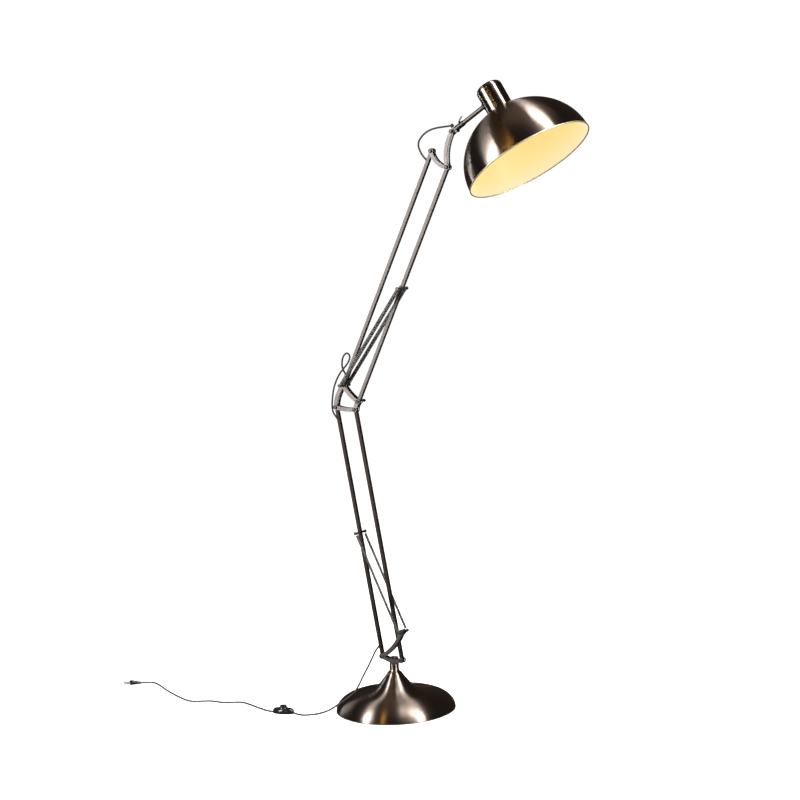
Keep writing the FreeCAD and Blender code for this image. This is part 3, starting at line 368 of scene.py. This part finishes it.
    def ring_tangent(self):
        """Brushing that runs round the object's own axis."""
        node = self.tree.nodes.new("ShaderNodeTangent")
        node.direction_type = "RADIAL"
        node.axis = "Z"
        self.feed("Tangent", node.outputs[0])


def spun_bronze(name, dark, warm, roughness):
    """Dark lacquered bronze, spun and brushed in rings, with faint warm clouds and dust."""
    look = Look(name, dark, 1.0, roughness)
    rings = look.noise(look.ringed(0.01), 500, 2, 0.5)
    bands = look.noise(look.ringed(0.03), 150, 2)
    clouds = look.noise(look.coordinates, 9, 3)
    toned = look.mixed(look.between(clouds, 0, 0.8), dark, warm)
    light = tuple(min(1, value * 1.5) for value in warm)
    look.feed("Base Color", look.mixed(look.between(rings, 0, 0.35), toned, light))
    both = look.math("ADD", look.math("MULTIPLY", rings, 0.5), look.math("MULTIPLY", bands, 0.5))
    look.feed("Roughness", look.between(both, roughness - 0.015, roughness + 0.015))
    look.set("Anisotropic", 1.0)
    look.set("Anisotropic Rotation", 0.25)
    look.ring_tangent()
    return look.material


def brushed_rod(name, lean, dark, light):
    """Satin nickel, brushed along the rod, which leans in the arms' plane."""
    look = Look(name, dark, 1.0, 0.42)
    grain = look.noise(look.mapped((80, 80, 6), (0, math.radians(lean), 0)), 1, 2, 0.5)
    smudge = look.noise(look.coordinates, 14, 3)
    both = look.math("ADD", look.math("MULTIPLY", grain, 0.4), look.math("MULTIPLY", smudge, 0.6))
    look.feed("Base Color", look.mixed(look.between(both, 0.0, 1.0), dark, light))
    look.feed("Roughness", look.between(both, 0.48, 0.52))
    return look.material


def satin_metal(name, dark, light, roughness, grain_scale=300, edge=None, edge_radius=0.0006):
    """Satin metal with fine tumbling marks, cloudy tone and edges rubbed brighter."""
    look = Look(name, dark, 1.0, roughness)
    grain = look.noise(look.coordinates, grain_scale, 4, 0.65)
    cloud = look.noise(look.coordinates, 40, 3)
    toned = look.mixed(look.between(cloud, 0, 1), dark, light)
    if edge:
        toned = look.mixed(look.worn_edges(edge_radius, 5), toned, edge)
    look.feed("Base Color", toned)
    both = look.math("ADD", look.math("MULTIPLY", grain, 0.6), look.math("MULTIPLY", cloud, 0.4))
    look.feed("Roughness", look.between(both, roughness - 0.015, roughness + 0.015))
    look.bump(grain, 0.004, 0.0001)
    return look.material


def painted(name, color, worn, roughness):
    """Satin black paint with orange peel, thin at the edges."""
    look = Look(name, color, 0.0, roughness)
    peel = look.noise(look.coordinates, 1300, 2)
    edges = look.worn_edges(0.0005, 3)
    look.feed("Base Color", look.mixed(edges, color, worn))
    look.feed("Roughness", look.between(peel, roughness - 0.06, roughness + 0.1))
    look.set("Specular IOR Level", 0.3)
    look.bump(peel, 0.05, 0.0002)
    return look.material


def plastic(name, color, light, roughness, texture_scale, depth, specular=0.5):
    """Moulded plastic or rubber with a fine skin."""
    look = Look(name, color, 0.0, roughness)
    skin = look.noise(look.coordinates, texture_scale, 3, 0.6)
    cloud = look.noise(look.coordinates, 60, 2)
    look.feed("Base Color", look.mixed(look.between(cloud, 0, 1), color, light))
    look.feed("Roughness", look.between(skin, roughness - 0.05, roughness + 0.05))
    look.set("Specular IOR Level", specular)
    look.bump(skin, depth, 0.0002)
    return look.material


def felt():
    """Pressed fibres with a soft sheen."""
    look = Look("felt_look", (0.03, 0.03, 0.032), 0.0, 0.95)
    fibres = look.noise(look.mapped((1, 1, 3)), 900, 6, 0.75)
    look.feed("Base Color", look.colors(fibres, (0.3, (0.012, 0.012, 0.013)), (0.7, (0.06, 0.06, 0.064))))
    look.set("Sheen Weight", 0.4)
    look.set("Sheen Roughness", 0.5)
    look.bump(fibres, 0.6, 0.0006)
    return look.material


def cast_iron():
    look = Look("iron_look", (0.06, 0.06, 0.062), 0.8, 0.7)
    pits = look.noise(look.coordinates, 420, 6, 0.7)
    look.feed("Base Color", look.colors(pits, (0.35, (0.03, 0.028, 0.026)), (0.65, (0.13, 0.125, 0.12))))
    look.bump(pits, 0.5, 0.0008)
    return look.material


def enamel_and_painted_glow():
    """The dome's inside: a warm enamelled coat with a painted glow that stands in for the bulb's light on
    it, palest at the rim and amber towards the top.
    """
    look = Look("enamel_painted_glow_look", (0.03, 0.025, 0.012), 0.0, 0.5)
    split = look.tree.nodes.new("ShaderNodeSeparateXYZ")
    look.tree.links.new(look.coordinates, split.inputs[0])
    height = look.math("MULTIPLY", split.outputs[2], 6.4)
    clouds = look.noise(look.coordinates, 11, 2)
    place = look.math("ADD", height, look.math("MULTIPLY", look.math("SUBTRACT", clouds, 0.5), 0.25))
    glow = look.colors(place, (0.0, (1.0, 0.84, 0.5)), (0.3, (1.0, 0.77, 0.31)), (1.0, (0.98, 0.66, 0.17)))
    # painted glow: emission that stands in for the bulb's light on the enamelled inside
    look.feed("Emission Color", glow)
    look.set("Specular IOR Level", 0.2)
    look.set("Emission Strength", 0.93)
    look.feed("Roughness", look.between(clouds, 0.42, 0.6))
    return look.material


def opal_glass():
    """Opal glass, lit from within, with faint swirls in its tone."""
    look = Look("opal_look", (1.0, 0.93, 0.8), 0.0, 0.25)
    swirl = look.noise(look.coordinates, 30, 2)
    look.feed("Base Color", look.mixed(look.between(swirl, 0, 1), (1.0, 0.93, 0.8), (0.98, 0.9, 0.74)))
    look.feed("Emission Color", look.mixed(look.between(swirl, 0, 1), (1.0, 0.84, 0.5), (1.0, 0.88, 0.58)))
    look.set("Emission Strength", 2.2)
    look.set("Coat Weight", 0.5)
    return look.material


LOWER_LEAN = -9.5
UPPER_LEAN = 27.0
base_bronze = spun_bronze("base_bronze_look", (0.19, 0.172, 0.165), (0.25, 0.19, 0.15), 0.34)
shade_bronze = spun_bronze("shade_bronze_look", (0.17, 0.152, 0.145), (0.23, 0.175, 0.135), 0.25)
# the dome's inside, with a painted glow standing in for the bulb's light
inside_enamel_and_painted_glow = enamel_and_painted_glow()
rim_metal = satin_metal("rim_look", (0.42, 0.38, 0.31), (0.55, 0.5, 0.42), 0.5)
looks = {
    "bronze_shell": base_bronze,
    "bronze_shade": shade_bronze,
    # painted shade: the lower rods get a near-black copy of the rod steel, darker than the upper rods' copy
    "rod_steel": brushed_rod("lower_rod_painted_shade_look", LOWER_LEAN, (0.014, 0.011, 0.01), (0.03, 0.025, 0.023)),
    "bracket_steel": satin_metal("bracket_look", (0.05, 0.044, 0.041), (0.085, 0.076, 0.072), 0.42,
                                 edge=(0.16, 0.15, 0.14)),
    "black_steel": painted("black_paint_look", (0.012, 0.012, 0.012), (0.16, 0.15, 0.145), 0.32),
    "spring_steel": satin_metal("spring_wire_look", (0.12, 0.112, 0.108), (0.18, 0.17, 0.165), 0.5, 400),
    "zinc_steel": satin_metal("zinc_look", (0.5, 0.51, 0.52), (0.68, 0.69, 0.7), 0.35, 260,
                              edge=(0.8, 0.8, 0.8)),
    "iron": cast_iron(),
    "nylon": plastic("nylon_look", (0.72, 0.7, 0.64), (0.78, 0.76, 0.7), 0.4, 500, 0.05),
    "felt": felt(),
    "cord_sheath": plastic("cord_look", (0.022, 0.019, 0.019), (0.03, 0.027, 0.026), 0.65, 900, 0.03, 0.2),
    "switch_plastic": plastic("switch_look", (0.006, 0.006, 0.006), (0.01, 0.01, 0.01), 0.14, 700, 0.02),
    "bakelite": plastic("bakelite_look", (0.02, 0.016, 0.013), (0.035, 0.026, 0.02), 0.35, 300, 0.05),
    "brass": satin_metal("brass_look", (0.62, 0.43, 0.17), (0.78, 0.57, 0.27), 0.25, 600,
                         edge=(0.9, 0.72, 0.42)),
    "bulb_glass": opal_glass(),
}
# painted light: the upper rods get a lighter copy of the same rod steel
upper_rod_painted_light_look = brushed_rod("upper_rod_painted_light_look", UPPER_LEAN, (0.068, 0.06, 0.057), (0.1, 0.09, 0.086))

for node_name, node in nodes.items():
    for entry in node.material_slots:
        entry.material = looks[entry.material.name]
for rod_name in ("upper_rear_rod", "upper_front_rod"):
    nodes[rod_name].material_slots[0].material = upper_rod_painted_light_look
nodes["neck_bush"].material_slots[0].material = looks["black_steel"]
# painted light: a lighter copy of the bracket steel for the elbow and head plates and the arm tube
bracket_painted_light_look = satin_metal("bracket_painted_light_look", (0.08, 0.072, 0.069), (0.12, 0.108, 0.104), 0.45,
                                 edge=(0.18, 0.165, 0.158))
for piece_name in ("elbow_plate_near", "elbow_plate_far", "head_plate_near", "head_plate_far", "arm_tube"):
    nodes[piece_name].material_slots[0].material = bracket_painted_light_look
for cord_piece in cords.values():
    cord_piece.data.materials.append(looks["cord_sheath"])

# ---- spun pieces ----


def spin(name, profiles, place, steps=160):
    """A mesh of closed profiles turned round its own Z. Each profile is a list of (r, z, material)."""
    points = []
    faces = []
    paints = []
    for profile in profiles:
        rings = []
        for r, z, _ in profile:
            if r < 1e-7:
                rings.append([len(points)] * steps)
                points.append((0, 0, z))
            else:
                rings.append(list(range(len(points), len(points) + steps)))
                for k in range(steps):
                    turn = 2 * math.pi * k / steps
                    points.append((r * math.cos(turn), r * math.sin(turn), z))
        for i in range(len(profile)):
            here, there = rings[i - 1], rings[i]
            for k in range(steps):
                after = (k + 1) % steps
                corners = [here[k], here[after], there[after], there[k]]
                face = [c for n, c in enumerate(corners) if c != corners[n - 1]]
                if len(face) > 2:
                    faces.append(tuple(face))
                    paints.append(profile[i][2])
    piece = mesh_object(name, points, faces)
    piece.data.polygons.foreach_set("material_index", paints)
    mesh = bmesh.new()
    mesh.from_mesh(piece.data)
    bmesh.ops.recalc_face_normals(mesh, faces=mesh.faces)
    mesh.to_mesh(piece.data)
    mesh.free()
    piece.data.set_sharp_from_angle(angle=math.radians(38))
    piece.matrix_world = place
    return piece


def arc(centre_r, centre_z, wide, high, start, end, steps, paint):
    """Points of an elliptic arc of a profile, from one angle to another, in degrees from outwards to up."""
    points = []
    for i in range(steps + 1):
        turn = math.radians(start + (end - start) * i / steps)
        points.append((centre_r + wide * math.cos(turn), centre_z + high * math.sin(turn), paint))
    return points


# the shade's own frame: Z along its axis, from the middle of its mouth towards the cap
ARM_TO_SHADE_AXIS = 0.1483
ARM_ABOVE_RIM = 0.190
arm_way = Vector(joints["shade_swivel"]["axis"]).normalized()
if arm_way.x < 0:
    arm_way = -arm_way
shade_up = arm_way.cross(ACROSS)
tilt_pivot = pivot("head_tilt")
shade_origin = tilt_pivot + arm_way * ARM_TO_SHADE_AXIS - shade_up * ARM_ABOVE_RIM
shade_frame = Matrix((arm_way, ACROSS, shade_up)).transposed().to_4x4()
shade_frame.translation = shade_origin

SHADE_RADIUS = 0.171
SHADE_HEIGHT = 0.156
SHADE_WALL = 0.001
SHADE_HOLE_RADIUS = 0.020
BEAD_RADIUS = 0.0017
CAP_RADIUS = 0.035
CAP_TOP = 0.230
CAP_CORNER = 0.014
CAP_WALL = 0.001


def dome_height(radius):
    return SHADE_HEIGHT * math.sqrt(1 - (radius / SHADE_RADIUS) ** 2)


def make_dome():
    """Bronze outside and enamelled inside with a painted glow for the bulb's light, with a rolled rim."""
    hole_turn = math.degrees(math.acos(SHADE_HOLE_RADIUS / SHADE_RADIUS))
    inner_radius = SHADE_RADIUS - SHADE_WALL
    inner_hole_turn = math.degrees(math.acos(SHADE_HOLE_RADIUS / inner_radius))
    outside = arc(0, 0, SHADE_RADIUS, SHADE_HEIGHT, 0, hole_turn, 72, 0)
    inside = arc(0, 0, inner_radius, SHADE_HEIGHT - SHADE_WALL, inner_hole_turn, 0, 72, 1)
    bead = arc(SHADE_RADIUS - SHADE_WALL / 2, BEAD_RADIUS / 2, BEAD_RADIUS, BEAD_RADIUS, 0, 337.5, 15, 2)
    dome = spin("shade_dome_skin", [outside + inside, bead], shade_frame, 224)
    dome.data.materials.append(shade_bronze)
    dome.data.materials.append(inside_enamel_and_painted_glow)
    dome.data.materials.append(rim_metal)
    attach(dome, "shade")
    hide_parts("shade_dome")


def make_cap():
    """Closed spun cup over the lamp holder."""
    outer_low = dome_height(CAP_RADIUS - CAP_WALL)
    flat = CAP_RADIUS - CAP_CORNER
    outside = [(CAP_RADIUS, outer_low, 0)]
    outside += arc(flat, CAP_TOP - CAP_CORNER, CAP_CORNER, CAP_CORNER, 0, 90, 14, 0)
    outside.append((0, CAP_TOP, 0))
    inner = CAP_CORNER - CAP_WALL
    inside = [(0, CAP_TOP - CAP_WALL, 0)]
    inside += arc(flat, CAP_TOP - CAP_CORNER, inner, inner, 90, 0, 14, 0)
    inside.append((CAP_RADIUS - CAP_WALL, outer_low, 0))
    cap = spin("lamp_cap_skin", [outside + inside], shade_frame, 128)
    cap.data.materials.append(shade_bronze)
    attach(cap, "shade")
    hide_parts("lamp_cap")


make_dome()
make_cap()

# ---- springs: close-wound wire with a hook round a pin at each end ----

WIRE_RADIUS = 0.0009
WIRE_SIDES = 6
COIL_RADIUS = 0.0028
COIL_PITCH = 0.0018
COIL_STEPS = 12
HOOK_RADIUS = 0.0039
HOOK_REACH = 0.0065
OUTER_SPRING_Y = 0.0210
INNER_SPRING_Y = 0.0127


def spring_line(start, end):
    """The wire's path: round the first pin, along the coil, and round the second pin."""
    way = (end - start).normalized()
    side = way.cross(ACROSS)
    body = (end - start).length - 2 * HOOK_REACH
    turns = round(body / COIL_PITCH)
    steps = turns * COIL_STEPS
    first_hook = []
    for degrees in range(30, 271, 20):
        turn = math.radians(degrees)
        first_hook.append(start + HOOK_RADIUS * (way * math.cos(turn) + side * math.sin(turn)))
    coil = []
    for i in range(steps + 1):
        turn = math.pi + 2 * math.pi * i / COIL_STEPS
        coil.append(start + way * (HOOK_REACH + body * i / steps)
                    + COIL_RADIUS * (side * math.cos(turn) + ACROSS * math.sin(turn)))
    second_hook = []
    for degrees in range(-90, 151, 20):
        turn = math.radians(degrees)
        second_hook.append(end + HOOK_RADIUS * (side * math.sin(turn) - way * math.cos(turn)))
    return first_hook + coil + second_hook


def make_springs(name, start, end, places):
    """Springs side by side between two pins, as one wire mesh in place of the CAD node."""
    shapes = []
    for y in places:
        shift = Vector((0, y, 0))
        shapes.append(sweep(spring_line(start + shift, end + shift), WIRE_RADIUS, WIRE_SIDES))
    piece = mesh_object(f"{name}_wire", *merged(shapes))
    piece.data.materials.append(looks["spring_steel"])
    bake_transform(piece)
    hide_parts(name)


def pin_place(node_name):
    """The middle of a pin across the arms' plane."""
    low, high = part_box(node_name)
    middle = (low + high) / 2
    return Vector((middle.x, 0, middle.z))


SPRING_ANCHOR_RISE = Vector((0.0682, 0, 0.0724))
UPPER_SPRING_PIN_AT = 0.3435
upper_lean = math.radians(UPPER_LEAN)
upper_way = Vector((math.sin(upper_lean), 0, math.cos(upper_lean)))
make_springs("lower_springs", pivot("lower_arm") + SPRING_ANCHOR_RISE, pin_place("lower_spring_pin"),
             (-OUTER_SPRING_Y, OUTER_SPRING_Y))
make_springs("upper_springs", pivot("upper_arm"), pivot("upper_front") + upper_way * UPPER_SPRING_PIN_AT,
             (-OUTER_SPRING_Y, -INNER_SPRING_Y, INNER_SPRING_Y, OUTER_SPRING_Y))

# ---- floor, light and background ----


FLOOR_REACH = 9
OVERHEAD_SIZE = 2.4


def make_floor():
    """A plain pale floor that glows as white as the backdrop."""
    corners = [(x * FLOOR_REACH, y * FLOOR_REACH, 0) for x, y in ((-1, -1), (1, -1), (1, 1), (-1, 1))]
    piece = mesh_object("floor", corners, [(0, 1, 2, 3)], False)
    look = Look("floor_look", (0.9, 0.9, 0.9), 0.0, 0.9)
    grain = look.noise(look.coordinates, 3, 2)
    look.feed("Base Color", look.mixed(look.between(grain, 0, 1), (0.9, 0.9, 0.9), (0.92, 0.92, 0.92)))
    look.set("Emission Color", (1, 1, 1, 1))
    look.set("Emission Strength", 1.02)
    piece.data.materials.append(look.material)
    piece.visible_glossy = False


def panel(name, place, aim, width, height, power, color=(1, 1, 1)):
    """A soft box that faces a point."""
    data = bpy.data.lights.new(name, "AREA")
    data.shape = "RECTANGLE"
    data.size = width
    data.size_y = height
    data.energy = power
    data.color = color
    lamp = bpy.data.objects.new(name, data)
    turned = (aim - place).to_track_quat("-Z", "Y").to_matrix()
    lamp.matrix_world = Matrix.Translation(place) @ turned.to_4x4()
    lamp.visible_camera = False
    bpy.context.scene.collection.objects.link(lamp)


def strip(name, azimuth, distance, low, high, width, radiance, color=(1, 1, 1)):
    """An upright soft strip. Azimuth turns from -Y towards +X, so the camera stands at 33."""
    turn = math.radians(azimuth)
    middle = (low + high) / 2
    place = Vector((math.sin(turn) * distance, -math.cos(turn) * distance, middle))
    area = width * (high - low)
    panel(name, place, Vector((0, 0, middle)), width, high - low, radiance * area * math.pi, color)


ROOF_DISTANCE = 1.7
ROOF_HEIGHT = 5.0
ROOF_LENGTH = 2.4
ROOF_AIM_HEIGHT = 1.2


def roof(name, azimuth, width, radiance):
    """A soft strip that carries an upright one on over the lamp."""
    turn = math.radians(azimuth)
    place = Vector((math.sin(turn) * ROOF_DISTANCE, -math.cos(turn) * ROOF_DISTANCE, ROOF_HEIGHT))
    power = radiance * width * ROOF_LENGTH * math.pi
    panel(name, place, Vector((0, 0, ROOF_AIM_HEIGHT)), width, ROOF_LENGTH, power)


def make_world():
    """White to the eye, and a dim warm room to the light."""
    world = bpy.data.worlds.new("studio")
    bpy.context.scene.world = world
    world.use_nodes = True
    tree = world.node_tree
    tree.nodes.clear()
    output = tree.nodes.new("ShaderNodeOutputWorld")
    seen = tree.nodes.new("ShaderNodeBackground")
    seen.inputs["Color"].default_value = (1, 1, 1, 1)
    seen.inputs["Strength"].default_value = 1.05
    lit = tree.nodes.new("ShaderNodeBackground")
    lit.inputs["Color"].default_value = (1, 0.76, 0.62, 1)
    lit.inputs["Strength"].default_value = 0.05
    ray = tree.nodes.new("ShaderNodeLightPath")
    mix = tree.nodes.new("ShaderNodeMixShader")
    tree.links.new(ray.outputs["Is Camera Ray"], mix.inputs[0])
    tree.links.new(lit.outputs[0], mix.inputs[1])
    tree.links.new(seen.outputs[0], mix.inputs[2])
    tree.links.new(mix.outputs[0], output.inputs["Surface"])


make_floor()
make_world()
# name, azimuth, distance, low and high end, width, radiance
strip("strip_right", 81, 2.8, 0.1, 4.6, 0.6, 24)
roof("roof_right", 81, 0.6, 30)
strip("strip_left", -27, 2.8, 0.1, 2.8, 0.45, 34)
strip("strip_far_left", -96, 2.6, 0.3, 1.9, 0.06, 24)
strip("strip_gold", 6, 2.7, 0.3, 3.4, 0.05, 24, (1.0, 0.6, 0.12))
panel("overhead", Vector((0.2, 0, 4.0)), Vector((0, 0, 0)), OVERHEAD_SIZE, OVERHEAD_SIZE, 5, (1, 0.8, 0.68))
bpy.context.scene.view_settings.view_transform = "Standard"
